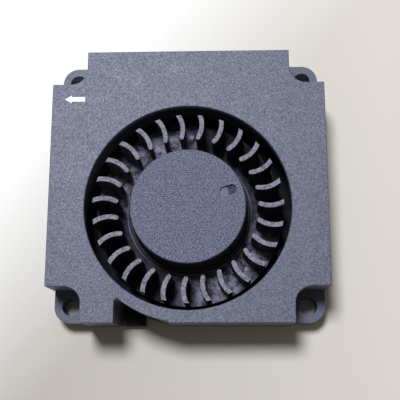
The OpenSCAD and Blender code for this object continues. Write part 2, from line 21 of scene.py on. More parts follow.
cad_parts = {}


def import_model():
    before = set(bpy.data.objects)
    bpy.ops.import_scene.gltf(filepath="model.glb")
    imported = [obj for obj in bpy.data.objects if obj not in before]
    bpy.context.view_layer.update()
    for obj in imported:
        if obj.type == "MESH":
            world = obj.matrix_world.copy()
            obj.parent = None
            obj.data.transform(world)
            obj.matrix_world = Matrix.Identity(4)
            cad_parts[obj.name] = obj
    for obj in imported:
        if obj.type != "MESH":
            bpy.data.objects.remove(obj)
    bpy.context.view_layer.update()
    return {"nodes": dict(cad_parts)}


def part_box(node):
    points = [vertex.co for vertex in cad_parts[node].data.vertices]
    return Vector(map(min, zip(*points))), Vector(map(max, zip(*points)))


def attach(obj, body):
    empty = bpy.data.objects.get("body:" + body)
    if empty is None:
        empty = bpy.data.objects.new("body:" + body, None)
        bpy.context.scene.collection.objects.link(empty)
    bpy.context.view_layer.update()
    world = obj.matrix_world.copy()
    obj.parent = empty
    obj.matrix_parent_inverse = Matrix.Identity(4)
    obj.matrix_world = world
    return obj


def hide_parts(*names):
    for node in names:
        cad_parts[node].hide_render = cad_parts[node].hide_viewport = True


LOG = logging.getLogger("blower")

MM = 0.001             # a millimetre, in metres
SHARP_EDGE = 50.0      # faces that meet at more than this get a rounded edge
SMOOTH_BELOW = 32.0    # faces that meet at less than this are shaded as one
FLAT_WEIGHT = 90       # how far a flat face outweighs the rounding beside it, from 1 to 100
JOIN_WITHIN = 0.0005   # a solid's corners that are nearer than this are one
FLAT_WITHIN = 0.6      # its triangles that meet at less than this make one face

# The Mix node's sockets when it mixes colours
MIX_SHARE, MIX_FIRST, MIX_SECOND, MIX_RESULT = 0, 6, 7, 2

Colour = tuple[float, float, float]
Place = tuple[float, float, float]
Spot = tuple[float, float]
Span = tuple[float, float]


# ---------------------------------------------------------------- shader helpers

class Signal:
    """A node's output socket, on which plain arithmetic adds Math nodes."""

    def __init__(self, graph: "NodeTree", socket: bpy.types.NodeSocket) -> None:
        """Keeps the tree and the socket."""
        self.graph = graph
        self.socket = socket

    def _math(self, operation: str, *values: "Signal | float", clamp: bool = False) -> "Signal":
        """Adds one Math node.

        Args:
            operation: the Math node's operation.
            values: its inputs, in order.
            clamp: whether the result is kept between 0 and 1.

        Returns:
            The node's output.
        """
        settings = {"operation": operation, "use_clamp": clamp}
        node = self.graph.node("ShaderNodeMath", settings, dict(enumerate(values)))
        return Signal(self.graph, node.outputs[0])

    def __add__(self, other: "Signal | float") -> "Signal":
        """Sum."""
        return self._math("ADD", self, other)

    __radd__ = __add__

    def __sub__(self, other: "Signal | float") -> "Signal":
        """Difference."""
        return self._math("SUBTRACT", self, other)

    def __rsub__(self, other: "Signal | float") -> "Signal":
        """Difference, with the number first."""
        return self._math("SUBTRACT", other, self)

    def __mul__(self, other: "Signal | float") -> "Signal":
        """Product."""
        return self._math("MULTIPLY", self, other)

    __rmul__ = __mul__

    def __truediv__(self, other: "Signal | float") -> "Signal":
        """Quotient."""
        return self._math("DIVIDE", self, other)

    def __pow__(self, other: float) -> "Signal":
        """Power."""
        return self._math("POWER", self, other)

    def size(self) -> "Signal":
        """Absolute value."""
        return self._math("ABSOLUTE", self)

    def sine(self) -> "Signal":
        """Sine of an angle in radians."""
        return self._math("SINE", self)

    def angle_to(self, x: "Signal") -> "Signal":
        """Direction of the point (x, self), in radians."""
        return self._math("ARCTAN2", self, x)

    def ramp(self, low: float, high: float) -> "Signal":
        """Rises from 0 at low to 1 at high, and is held there."""
        return self._math("MULTIPLY", self - low, 1.0 / (high - low), clamp=True)


class NodeTree:
    """The nodes of a material or of the surround."""

    def __init__(self, tree: bpy.types.NodeTree) -> None:
        """Takes over a tree and empties it."""
        self.tree = tree
        self.tree.nodes.clear()

    def node(self, kind: str, settings: dict[str, Any] | None = None,
             inputs: dict[str | int, Any] | None = None) -> bpy.types.Node:
        """Adds any node.

        Args:
            kind: the node's type.
            settings: its properties, which are set first.
            inputs: signals, colours or numbers for its sockets, by name or number.

        Returns:
            The new node.
        """
        made = self.tree.nodes.new(kind)
        for key, value in (settings or {}).items():
            setattr(made, key, value)
        for key, value in (inputs or {}).items():
            if isinstance(value, Signal):
                self.tree.links.new(value.socket, made.inputs[key])
            else:
                colour = isinstance(value, tuple)
                made.inputs[key].default_value = (*value, 1.0) if colour else value
        return made


class Graph(NodeTree):
    """The nodes of one material."""

    def __init__(self, name: str) -> None:
        """Starts an empty material.

        Args:
            name: the material's name.
        """
        self.material = bpy.data.materials.new(name)
        self.material.use_nodes = True
        super().__init__(self.material.node_tree)

    def place(self) -> tuple[Signal, Signal, Signal, Signal]:
        """Object coordinates in millimetres.

        Returns:
            The vector, and its x, y and z.
        """
        coords = self.node("ShaderNodeTexCoord")
        scaled = self.node("ShaderNodeVectorMath", {"operation": "SCALE"},
                           {0: Signal(self, coords.outputs["Object"]), "Scale": 1 / MM})
        vector = Signal(self, scaled.outputs[0])
        split = self.node("ShaderNodeSeparateXYZ", None, {0: vector})
        return (vector, *(Signal(self, out) for out in split.outputs))

    def noise(self, vector: Signal, grain: float, detail: float = 2.0,
              roughness: float = 0.5) -> Signal:
        """Noise with features of a given size.

        Args:
            vector: where it is read.
            grain: size of its features.
            detail: number of finer layers.
            roughness: weight of the finer layers.

        Returns:
            The noise, around 0.5.
        """
        made = self.node("ShaderNodeTexNoise", None,
                         {"Vector": vector, "Scale": 1 / grain, "Detail": detail,
                          "Roughness": roughness})
        return Signal(self, made.outputs[0])

    def cells(self, vector: Signal, grain: float) -> Signal:
        """Distance to the nearest of scattered points, in grains."""
        made = self.node("ShaderNodeTexVoronoi", None, {"Vector": vector, "Scale": 1 / grain})
        return Signal(self, made.outputs["Distance"])

    def blend(self, share: Signal | float, first: Colour | Signal,
              second: Colour | Signal) -> Signal:
        """Mixes two colours.

        Args:
            share: how much of the second shows.
            first: the colour at 0.
            second: the colour at 1.

        Returns:
            The mixed colour.
        """
        made = self.node("ShaderNodeMix", {"data_type": "RGBA"},
                         {MIX_SHARE: share, MIX_FIRST: first, MIX_SECOND: second})
        return Signal(self, made.outputs[MIX_RESULT])

    def tones(self, share: Signal, colour: Colour, factors: Span) -> Signal:
        """One colour, in a tone between its shades by the two factors."""
        low, high = factors
        return self.blend(share, shade(colour, low), shade(colour, high))

    def bump(self, height: Signal, depth: float) -> Signal:
        """The normal of a surface where a height of 1 is depth millimetres."""
        made = self.node("ShaderNodeBump", None,
                         {"Height": height, "Distance": depth * MM, "Strength": 1.0})
        return Signal(self, made.outputs[0])

    def surface(self, colour: Signal | Colour, roughness: Signal | float,
                normal: Signal | None = None, metallic: float = 0.0,
                specular: float = 0.5) -> bpy.types.Material:
        """Adds the shader and feeds it.

        Args:
            colour: the base colour.
            roughness: the roughness.
            normal: the normal, if it is bumped.
            metallic: 1 for a metal.
            specular: level of the reflection of a non-metal.

        Returns:
            The finished material.
        """
        sockets = {"Base Color": colour, "Roughness": roughness, "Metallic": metallic,
                   "Specular IOR Level": specular}
        if normal is not None:
            sockets["Normal"] = normal
        shader = self.node("ShaderNodeBsdfPrincipled", None, sockets)
        self.node("ShaderNodeOutputMaterial", None,
                  {"Surface": Signal(self, shader.outputs[0])})
        return self.material


def shade(colour: Colour, factor: float) -> Colour:
    """A colour made lighter or darker by a factor."""
    return tuple(min(1.0, part * factor) for part in colour)


def about(level: float, span: Span) -> Span:
    """A span that is measured from a level, as two heights."""
    return level + span[0], level + span[1]


def distance(x: Signal, y: Signal) -> Signal:
    """Length of a plan vector."""
    return (x * x + y * y) ** 0.5


def along(x: Signal, y: Signal, turn: float) -> Signal:
    """How far a plan vector reaches in the direction of turn."""
    return x * math.cos(math.radians(turn)) + y * math.sin(math.radians(turn))


# ---------------------------------------------------------------- finishes

class Finish(Protocol):
    """What every finish has."""

    @property
    def name(self) -> str:
        """Name of its material."""

    def make(self) -> bpy.types.Material:
        """Builds the material."""


@dataclass(frozen=True)
class SparkGrain:
    """The grain that a spark-eroded tool leaves: fine pits with brighter crests between."""

    size: float = 0.24                   # of the pits
    crest: float = 0.34                  # from one crest to the next
    depth: float = 0.014
    pit_share: float = 0.62              # weight of the pits, the rest is the crests'
    pit_span: Span = (0.33, 0.67)        # noise from a pit's floor to its rim
    crest_span: Span = (0.12, 0.5)       # how far from its middle a crest falls away

    def height(self, graph: Graph, vector: Signal) -> Signal:
        """The grain's height.

        Args:
            graph: the material it belongs to.
            vector: where it is read.

        Returns:
            The height, from 0 in the pits to 1 on the crests.
        """
        fine = graph.noise(vector, self.size, detail=2.0, roughness=0.6).ramp(*self.pit_span)
        crests = 1.0 - graph.cells(vector, self.crest).ramp(*self.crest_span)
        return fine * self.pit_share + crests * (1.0 - self.pit_share)


@dataclass(frozen=True)
class PaintedShade:
    """A round patch of painted shade, darker and rougher than the grained faces round it."""

    centre: Spot
    reach: float
    colour: Colour
    fade: float = 1.1                    # width of its soft border
    roughness: float = 0.95

    def mask(self, x: Signal, y: Signal) -> Signal:
        """1 within reach of the centre, fading to 0 outside it."""
        away = distance(x - self.centre[0], y - self.centre[1])
        return 1.0 - away.ramp(self.reach, self.reach + self.fade)


@dataclass(frozen=True)
class MouldedPlastic:
    """Moulded plastic, with its tool's grain and a faint larger mottle."""

    name: str
    colour: Colour
    grain: SparkGrain = SparkGrain()
    contrast: float = 0.5                # of the grain, as a share of the colour
    roughness: float = 0.55
    specular: float = 0.3
    # patches of painted shade, darker and rougher than the grain round them
    painted_shade: tuple[PaintedShade, ...] = ()
    mottle: float = 5.0                  # size of the mottle's clouds
    mottle_span: Span = (0.3, 0.7)       # noise from no cloud to full cloud
    mottle_share: float = 0.16           # how much of a full cloud's tone shows
    mottle_tone: float = 0.72
    pit_dulling: float = 0.16            # how much rougher the pits are than the crests
    mottle_dulling: float = 0.12

    def make(self) -> bpy.types.Material:
        """Builds the material.

        Returns:
            The material.
        """
        graph = Graph(self.name)
        vector, x, y, _ = graph.place()
        height = self.grain.height(graph, vector)
        cloud = graph.noise(vector, self.mottle, detail=3.0, roughness=0.6)
        grained = graph.tones(height, self.colour, (1.0 - self.contrast, 1.0 + self.contrast))
        colour = graph.blend(cloud.ramp(*self.mottle_span) * self.mottle_share, grained,
                             shade(self.colour, self.mottle_tone))
        roughness = self.roughness + (0.5 - height) * self.pit_dulling \
            + (cloud - 0.5) * self.mottle_dulling
        # each patch of painted shade darkens the colour and raises the roughness
        for patch in self.painted_shade:
            inside = patch.mask(x, y)
            colour = graph.blend(inside, colour, patch.colour)
            roughness = roughness + inside * (patch.roughness - self.roughness)
        return graph.surface(colour, roughness, graph.bump(height, self.grain.depth),
                             specular=self.specular)


@dataclass(frozen=True)
class GateScar:
    """Where the sprue was broken off, in a pit of the hub's face."""

    place: Spot
    turn: float                          # direction of the darker half from the paler one
    rim_z: float                         # height of the hub's face
    reach: float = 1.5                   # the pit lies within this radius
    border: float = 0.1
    mouth: Span = (-0.07, -0.03)         # where the pit ends, from the face
    floor: Span = (-0.6, -0.5)           # where it begins, from the face
    wander: float = 1.2                  # how far the darker half's border strays
    half_border: Span = (-0.15, 0.1)            # width of that border
    smooth_span: Span = (0.35, 0.65)     # noise from the darkest to the palest tone
    smooth_tones: Span = (0.75, 1.35)
    # the other half of the floor is much darker than the hub
    dark_half_span: Span = (0.4, 0.62)
    dark_half_tones: Span = (0.05, 0.5)

    def masks(self, x: Signal, y: Signal, z: Signal, rough: Signal) -> tuple[Signal, Signal]:
        """Finds the pit and the darker half of its floor.

        Args:
            x: place along X.
            y: place along Y.
            z: height.
            rough: noise that makes the darker half's border uneven.

        Returns:
            The pit, and the darker half of it.
        """
        dx, dy = x - self.place[0], y - self.place[1]
        near = 1.0 - distance(dx, dy).ramp(self.reach, self.reach + self.border)
        under = 1.0 - z.ramp(*about(self.rim_z, self.mouth))
        pit = near * under * z.ramp(*about(self.rim_z, self.floor))
        stray = along(dx, dy, self.turn) + (rough - 0.5) * self.wander
        return pit, pit * stray.ramp(*self.half_border)

    def tint(self, graph: Graph, colour: Colour, rough: Signal, dark_half: Signal) -> Signal:
        """Colours the pit's floor.

        Args:
            graph: the material it belongs to.
            colour: the hub's colour.
            rough: noise that mottles the floor.
            dark_half: mask of the darker half.

        Returns:
            The floor's colour.
        """
        smooth = graph.tones(rough.ramp(*self.smooth_span), colour, self.smooth_tones)
        dark_half_colour = graph.tones(rough.ramp(*self.dark_half_span), colour, self.dark_half_tones)
        return graph.blend(dark_half, smooth, dark_half_colour)


@dataclass(frozen=True)
class RotorPlastic:
    """The impeller's plastic: grained hub face; flanks in painted shade; disc in painted light and shade,
    its pips painted as highlights; blade tops pale, partly painted highlight and partly scuffs.
    """

    name: str
    colour: Colour
    face_z: float                        # height of the hub's face
    top_z: float                         # height of the blades' tops
    disc_z: float                        # height of the back disc's face
    axis: Spot
    scar: GateScar
    grain: SparkGrain = SparkGrain(size=0.18, crest=0.23, depth=0.055)
    contrast: float = 1.0                # of the grain, as a share of the colour
    roughness: float = 0.55              # of the hub's face
    top_dulling: float = 0.16            # how much rougher the blades' tops are
    side_dulling: float = 0.34           # how much rougher disc and flanks are
    painted_light_polish: float = 0.22            # how much of that the patches of painted light take off again
    flow_dulling: float = 0.16           # how much the mottle varies it
    specular: float = 0.42
    # the flanks, hub side and shoulder are painted near black as shade; flank_tones vary them at random
    flank_shade_colour: Colour = (0.028, 0.028, 0.036)
    flank_tones: Span = (0.75, 1.25)
    disc_colour: Colour = (0.134, 0.126, 0.182)
    # the disc's tones run from painted shade, across the lamp's direction, to painted light along it
    disc_light_tones: Span = (0.1, 1.4)
    # the pips are painted lighter than the disc, as a highlight
    pip_highlight_tone: float = 1.9
    # the blades' tops are paler than the hub, partly painted highlight and partly scuffs
    top_scuff_and_highlight: Colour = (0.232, 0.226, 0.278)
    top_tones: Span = (0.4, 1.25)
    face_span: Span = (-0.12, -0.04)     # where the face's grain begins, from the face
    top_start: Span = (-0.04, -0.012)    # where a blade's top begins, from the tops
    top_end: Span = (0.02, 0.05)         # and where it ends
    pip_span: Span = (0.06, 0.12)        # where a pip's top begins, from the disc
    foot_span: Span = (0.2, 0.3)         # where the flanks begin, from the disc
    flow: float = 1.3                    # size of the melt's flow marks
    painted_light_turn: float = 128.0             # direction, through the axis, of the disc's painted light, towards the lamp's side
    painted_light_span: Span = (0.32, 0.8)        # how the painted light gathers along that direction
    flow_mottle: Span = (0.4, 0.58)      # noise from a dark mark to a pale one
    painted_light_least: float = 0.1              # how much of the painted light shows across that direction
    flow_gloss: Span = (0.35, 0.65)      # noise from the dullest to the glossiest
    flow_relief: float = 0.5             # heights, as shares of the grain's depth
    scuff_relief: float = 0.6
    side_relief: float = 0.08            # of the grain on disc and flanks
    scuff: float = 0.34                  # size of the scuffs on the blades' tops
    scuff_span: Span = (0.38, 0.58)      # noise from a dark scuff to a pale one

    def painted_light_mask(self, x: Signal, y: Signal) -> Signal:
        """Finds the two sides of the disc that are painted lit, along the lamp's direction.

        Args:
            x: place along X.
            y: place along Y.

        Returns:
            1 along the painted light's line through the axis, 0 across it.
        """
        dx, dy = x - self.axis[0], y - self.axis[1]
        run = along(dx, dy, self.painted_light_turn)
        return (run * run / (dx * dx + dy * dy)).ramp(*self.painted_light_span)

    def blade_tops(self, z: Signal) -> Signal:
        """1 at the height of the blades' tops, and 0 under and over it."""
        return z.ramp(*about(self.top_z, self.top_start)) \
            * (1.0 - z.ramp(*about(self.top_z, self.top_end)))

    def painted_interior(self, graph: Graph, z: Signal, flow: Signal, painted_light: Signal) -> Signal:
        """Colours the disc, its pips and the flanks over them, with painted light and shade.

        Args:
            graph: the material it belongs to.
            z: height.
            flow: noise that mottles them.
            painted_light: where the disc's painted light gathers.

        Returns:
            Their colour.
        """
        # the flanks, in painted shade
        flank = graph.tones(flow, self.flank_shade_colour, self.flank_tones)
        # the disc is painted dark across the lamp's direction and light along it
        painted_light_share = painted_light * (1.0 - self.painted_light_least) + self.painted_light_least
        painted_disc = graph.tones(flow.ramp(*self.flow_mottle) * painted_light_share, self.disc_colour,
                              self.disc_light_tones)
        pips = z.ramp(*about(self.disc_z, self.pip_span))
        disc = graph.blend(pips, painted_disc, shade(self.disc_colour, self.pip_highlight_tone))
        return graph.blend(1.0 - z.ramp(*about(self.disc_z, self.foot_span)), flank, disc)

    def make(self) -> bpy.types.Material:
        """Builds the material.

        Returns:
            The material.
        """
        graph = Graph(self.name)
        vector, x, y, z = graph.place()
        height = self.grain.height(graph, vector)
        flow = graph.noise(vector, self.flow, detail=4.0, roughness=0.7)
        scuff = graph.noise(vector, self.scuff, detail=3.0, roughness=0.7)
        # where the disc is painted lit, which is also made glossier
        painted_light = self.painted_light_mask(x, y)
        face = z.ramp(*about(self.face_z, self.face_span))
        sides = 1.0 - face
        tops = self.blade_tops(z)
        pit, dark_half = self.scar.masks(x, y, z, scuff)

        grained = graph.tones(height, self.colour, (1.0 - self.contrast, 1.0 + self.contrast))
        # the blades' tops: painted highlight, mottled by scuffs
        scuffs_and_highlight = graph.tones(scuff.ramp(*self.scuff_span), self.top_scuff_and_highlight, self.top_tones)
        whole = graph.blend(face, self.painted_interior(graph, z, flow, painted_light), grained)
        colour = graph.blend(pit, graph.blend(tops, whole, scuffs_and_highlight),
                             self.scar.tint(graph, self.colour, scuff, dark_half))

        dulling = self.side_dulling - painted_light * self.painted_light_polish \
            + (0.5 - flow.ramp(*self.flow_gloss)) * self.flow_dulling
        roughness = self.roughness + tops * self.top_dulling + sides * (1.0 - tops) * dulling
        relief = height * (face * (1.0 - self.side_relief) + self.side_relief) \
            + scuff * (tops + dark_half) * self.scuff_relief + flow * sides * self.flow_relief
        return graph.surface(colour, roughness, graph.bump(relief, self.grain.depth),
                             specular=self.specular)


@dataclass(frozen=True)
class PrintedInk:
    """Pad-printed ink: dense, a little uneven, following the grain under it."""

    name: str = "white_ink"
    colour: Colour = (0.95, 0.95, 0.91)
    grain: float = 0.2
    thin_span: Span = (0.25, 0.5)        # noise from thin ink to dense ink
    thin_tone: float = 0.86
    roughness: float = 0.55
    thin_dulling: float = 0.2            # how much the ink's evenness varies it
    depth: float = 0.006

    def make(self) -> bpy.types.Material:
        """Builds the material.

        Returns:
            The material.
        """
        graph = Graph(self.name)
        vector, _, _, _ = graph.place()
        fine = graph.noise(vector, self.grain, detail=2.0)
        colour = graph.tones(fine.ramp(*self.thin_span), self.colour, (self.thin_tone, 1.0))
        return graph.surface(colour, self.roughness + (fine - 0.5) * self.thin_dulling,
                             graph.bump(fine, self.depth))


class Lay(Enum):
    """Which way the fine lines of a machined or stacked surface run."""

    TURNED = "rings about the axis"
    STACKED = "level sheets"
    DRAWN = "lines along the axis"
    WOUND = "turns round a tooth"


@dataclass(frozen=True)
class WorkedMetal:
    """Metal with the lines that turning, stamping, drawing or winding leave."""

    name: str
    colour: Colour
    lay: Lay
    axis: Spot
    pitch: float = 0.12
    depth: float = 0.004
    roughness: float = 0.32
    metallic: float = 1.0
    drawn_radius: float = 8.0            # where drawn lines lie one pitch apart
    drift: float = 1.5                   # over this length the lines stray to and fro
    drift_turn: float = 2.0              # and this far, in radians of their wave
    line_share: float = 0.35             # how much of a line's tone shows
    line_tone: float = 0.6
    line_dulling: float = 0.05
    stain: float = 2.5                   # size of the stains
    stain_span: Span = (0.3, 0.75)       # noise from a stain to clean metal
    stain_tone: float = 0.78
    stain_dulling: float = 0.18

    def make(self) -> bpy.types.Material:
        """Builds the material.

        Returns:
            The material.
        """
        graph = Graph(self.name)
        vector, x, y, z = graph.place()
        x, y = x - self.axis[0], y - self.axis[1]
        radius = distance(x, y)
        run = {Lay.TURNED: radius + z, Lay.STACKED: z, Lay.WOUND: radius,
               Lay.DRAWN: y.angle_to(x) * self.drawn_radius}[self.lay]
        stray = graph.noise(vector, self.drift, detail=2.0) * self.drift_turn
        lines = (run * (2 * math.pi / self.pitch) + stray).sine() * 0.5 + 0.5
        stain = graph.noise(vector, self.stain, detail=3.0)
        tone = graph.tones(stain.ramp(*self.stain_span), self.colour, (self.stain_tone, 1.0))
        colour = graph.blend(lines * self.line_share, tone, shade(self.colour, self.line_tone))
        roughness = self.roughness + (stain - 0.5) * self.stain_dulling \
            + (lines - 0.5) * self.line_dulling
        return graph.surface(colour, roughness, graph.bump(lines, self.depth),
                             metallic=self.metallic)


@dataclass(frozen=True)
class PorousSolid:
    """A pressed powder: sintered bronze, bonded ferrite or fired ceramic."""

    name: str
    colour: Colour
    grain: float
    metallic: float
    roughness: float = 0.55
    depth: float = 0.01
    cloud: float = 1.2                   # size of the clouds of its tone
    cloud_tones: Span = (0.8, 1.2)
    cloud_dulling: float = 0.15
    pore_span: Span = (0.05, 0.25)       # from the middle of an open pore to its rim
    # the open pores are painted darker, as the shade in them
    pore_shade_tone: float = 0.35
    pore_slope: Span = (0.0, 0.5)        # from its lowest point to the level surface

    def make(self) -> bpy.types.Material:
        """Builds the material.

        Returns:
            The material.
        """
        graph = Graph(self.name)
        vector, _, _, _ = graph.place()
        pores = graph.cells(vector, self.grain)
        cloud = graph.noise(vector, self.cloud, detail=3.0)
        # painted shade in the open pores
        colour = graph.blend(1.0 - pores.ramp(*self.pore_span),
                             graph.tones(cloud, self.colour, self.cloud_tones),
                             shade(self.colour, self.pore_shade_tone))
        return graph.surface(colour, self.roughness + (cloud - 0.5) * self.cloud_dulling,
                             graph.bump(pores.ramp(*self.pore_slope), self.depth),
                             metallic=self.metallic)


@dataclass(frozen=True)
class BoardLaminate:
    """Glass laminate under solder mask, with its weave and its ring of copper."""

    name: str
    colour: Colour
    axis: Spot
    tones: Span = (0.75, 1.3)
    weave: float = 12.0                  # of its wave, in radians per millimetre
    weave_share: float = 0.4             # how much of the tone comes from the weave
    weave_relief: float = 0.3            # its height, the rest of the depth is the track's
    cloud: float = 2.0                   # size of the clouds in the mask
    cloud_share: float = 0.3             # how much of the tone comes from the clouds
    cloud_dulling: float = 0.12
    copper_colour: Colour = (0.16, 0.38, 0.16)   # as it shows through the mask
    copper_share: float = 0.55
    track_radius: float = 7.6
    track_edge: Span = (0.12, 0.16)      # from the track's middle line
    roughness: float = 0.3
    depth: float = 0.01

    def make(self) -> bpy.types.Material:
        """Builds the material.

        Returns:
            The material.
        """
        graph = Graph(self.name)
        vector, x, y, _ = graph.place()
        weave = (x * self.weave).sine() * (y * self.weave).sine() * 0.5 + 0.5
        cloud = graph.noise(vector, self.cloud, detail=2.0)
        radius = distance(x - self.axis[0], y - self.axis[1])
        track = 1.0 - (radius - self.track_radius).size().ramp(*self.track_edge)
        mask = graph.tones(weave * self.weave_share + cloud * self.cloud_share, self.colour,
                           self.tones)
        colour = graph.blend(track * self.copper_share, mask, self.copper_colour)
        relief = weave * self.weave_relief + track * (1.0 - self.weave_relief)
        return graph.surface(colour, self.roughness + cloud * self.cloud_dulling,
                             graph.bump(relief, self.depth))


# ---------------------------------------------------------------- mesh helpers

def merged_copy(node: str) -> bmesh.types.BMesh:
    """Copies a solid's mesh and joins its loose triangles into whole faces.

    Args:
        node: the solid's name.

    Returns:
        The joined mesh.
    """
    mesh = bmesh.new()
    mesh.from_mesh(bpy.data.objects[node].data)
    bmesh.ops.remove_doubles(mesh, verts=mesh.verts[:], dist=JOIN_WITHIN * MM)
    bmesh.ops.dissolve_limit(mesh, angle_limit=math.radians(FLAT_WITHIN), verts=mesh.verts[:],
                             edges=mesh.edges[:], delimit={"NORMAL"})
    return mesh


def soften(mesh: bmesh.types.BMesh, radius: float) -> None:
    """Rounds the sharp edges of a mesh.

    Args:
        mesh: the mesh.
        radius: the rounding's width.
    """
    sharp = [edge for edge in mesh.edges if len(edge.link_faces) == 2
             and math.degrees(edge.calc_face_angle(0.0)) > SHARP_EDGE]
    bmesh.ops.bevel(mesh, geom=sharp, offset=radius * MM, offset_type="OFFSET", segments=2,
                    profile=0.5, affect="EDGES", clamp_overlap=True, material=-1)


def piece(name: str, mesh: bmesh.types.BMesh, material: bpy.types.Material, body: str) -> bpy.types.Object:
    """Turns a mesh into a finished piece that rides on a body.

    Args:
        name: the piece's name.
        mesh: its mesh, in place.
        material: its finish.
        body: the body it rides on.

    Returns:
        The piece.
    """
    data = bpy.data.meshes.new(name)
    mesh.to_mesh(data)
    mesh.free()
    data.polygons.foreach_set("use_smooth", [True] * len(data.polygons))
    data.set_sharp_from_angle(angle=math.radians(SMOOTH_BELOW))
    data.materials.append(material)
    made = bpy.data.objects.new(name, data)
    bpy.context.scene.collection.objects.link(made)
    flatness = made.modifiers.new("flat_faces", "WEIGHTED_NORMAL")
    flatness.mode = "FACE_AREA"
    flatness.weight = FLAT_WEIGHT
    flatness.keep_sharp = True
    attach(made, body)
    LOG.info("%s: %d faces on %s", name, len(data.polygons), body)
    return made


# ---------------------------------------------------------------- sub-assemblies

@dataclass
class ScrollHousing:
    """Base and cover: black mouldings with softened edges."""

    axis: Spot                           # the impeller turns about it
    ink_height: float                    # the cover's face lies this much under the ink's
    edge_radius: float = 0.12
    base_colour: Colour = (0.112, 0.124, 0.165)
    cover_colour: Colour = (0.126, 0.132, 0.193)
    scroll_reach: float = 17.4           # radius of the painted shade on the floor round the impeller
    # colour of the painted shade on the scroll's floor
    scroll_shade_colour: Colour = (0.006, 0.007, 0.009)
    pocket: Spot = (14.9, 1.9)           # middle of the lead pocket, from the left and front
    pocket_reach: float = 3.1
    # colour of the painted shade in the lead pocket
    pocket_shade_colour: Colour = (0.012, 0.012, 0.016)

    def build(self) -> None:
        """Builds both mouldings in place of their solids."""
        self.base()
        self.cover()

    def base_finish(self) -> MouldedPlastic:
        """The base's plastic, with painted shade in the scroll and in the lead pocket.

        Returns:
            The finish.
        """
        left, front = (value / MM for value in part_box("housing_base")[0][:2])
        scroll = PaintedShade(self.axis, self.scroll_reach, self.scroll_shade_colour)
        pocket = PaintedShade((left + self.pocket[0], front + self.pocket[1]), self.pocket_reach,
                         self.pocket_shade_colour)
        return MouldedPlastic("housing_plastic", self.base_colour,
                              SparkGrain(size=0.2, crest=0.3, depth=0.006), contrast=0.3,
                              roughness=0.48, specular=0.35, painted_shade=(scroll, pocket))

    def base(self) -> bpy.types.Object:
        """Rounds the base's sharp edges.

        Returns:
            The base.
        """
        mesh = merged_copy("housing_base")
        soften(mesh, self.edge_radius)
        made = piece("scroll_base", mesh, self.base_finish().make(), "housing")
        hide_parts("housing_base")
        return made

    def cover(self) -> bpy.types.Object:
        """Rounds the cover's sharp edges and sets its face back by the ink's thickness.

        Returns:
            The cover.
        """
        mesh = merged_copy("top_cover")
        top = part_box("top_cover")[1][2]
        soften(mesh, self.edge_radius)
        face = [v for v in mesh.verts if v.co.z > top - 0.5 * self.ink_height * MM]
        bmesh.ops.translate(mesh, verts=face, vec=(0, 0, -self.ink_height * MM))
        finish = MouldedPlastic("cover_plastic", self.cover_colour, contrast=0.62,
                                roughness=0.52, specular=0.55)
        made = piece("inlet_cover", mesh, finish.make(), "housing")
        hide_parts("top_cover")
        return made


@dataclass
class FlowArrow:
    """The plain arrow on the cover that points to the outlet."""

    inset: Spot = (2.05, 8.35)           # of the tip, from the cover's left and back edges
    length: float = 3.4
    shaft_width: float = 0.8
    head_width: float = 1.35
    head_length: float = 1.2
    corner: float = 0.06
    height: float = 0.012

    def build(self) -> bpy.types.Object:
        """Draws the arrow's outline, rounds its corners and gives it its ink's thickness.

        Returns:
            The arrow.
        """
        low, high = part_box("top_cover")
        tip_x, tip_y = low[0] / MM + self.inset[0], high[1] / MM - self.inset[1]
        half, wide = self.shaft_width / 2, self.head_width / 2
        plan = [(0, 0), (self.head_length, -wide), (self.head_length, -half),
                (self.length, -half), (self.length, half), (self.head_length, half),
                (self.head_length, wide)]
        mesh = bmesh.new()
        foot = high[2] - self.height * MM
        outline = mesh.faces.new([mesh.verts.new(((tip_x + x) * MM, (tip_y + y) * MM, foot))
                                  for x, y in plan])
        bmesh.ops.bevel(mesh, geom=outline.verts[:], offset=self.corner * MM,
                        offset_type="OFFSET", segments=3, profile=0.5, affect="VERTICES",
                        clamp_overlap=True, material=-1)
        grown = bmesh.ops.extrude_face_region(mesh, geom=mesh.faces[:])
        raised = [item for item in grown["geom"] if isinstance(item, bmesh.types.BMVert)]
        bmesh.ops.translate(mesh, verts=raised, vec=(0, 0, self.height * MM))
        bmesh.ops.recalc_face_normals(mesh, faces=mesh.faces[:])
        return piece("flow_arrow", mesh, PrintedInk().make(), "housing")


@dataclass
class BladedRotor:
    """The impeller: hub, back disc and curved blades in one moulding."""

    axis: Spot
    colour: Colour = (0.168, 0.176, 0.26)
    edge_radius: float = 0.08
    blade_drop: float = 1.0              # from the cover's face down to the blades' tops
    disc_z: float = 3.0                  # height of the back disc's face
    gate: Spot = (6.5, 2.45)             # of the gate's scar, from the axis
    gate_turn: float = 17.0

    def build(self) -> bpy.types.Object:
        """Rounds the hub's and the blades' edges.

        Returns:
            The impeller.
        """
        mesh = merged_copy("impeller")
        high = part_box("impeller")[1][2] / MM
        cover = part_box("top_cover")[1][2] / MM
        soften(mesh, self.edge_radius)
        scar = GateScar((self.axis[0] + self.gate[0], self.axis[1] + self.gate[1]),
                        self.gate_turn, high)
        finish = RotorPlastic("rotor_plastic", self.colour, high, cover - self.blade_drop,
                              self.disc_z, self.axis, scar)
        made = piece("bladed_rotor", mesh, finish.make(), "rotor")
        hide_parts("impeller")
        return made


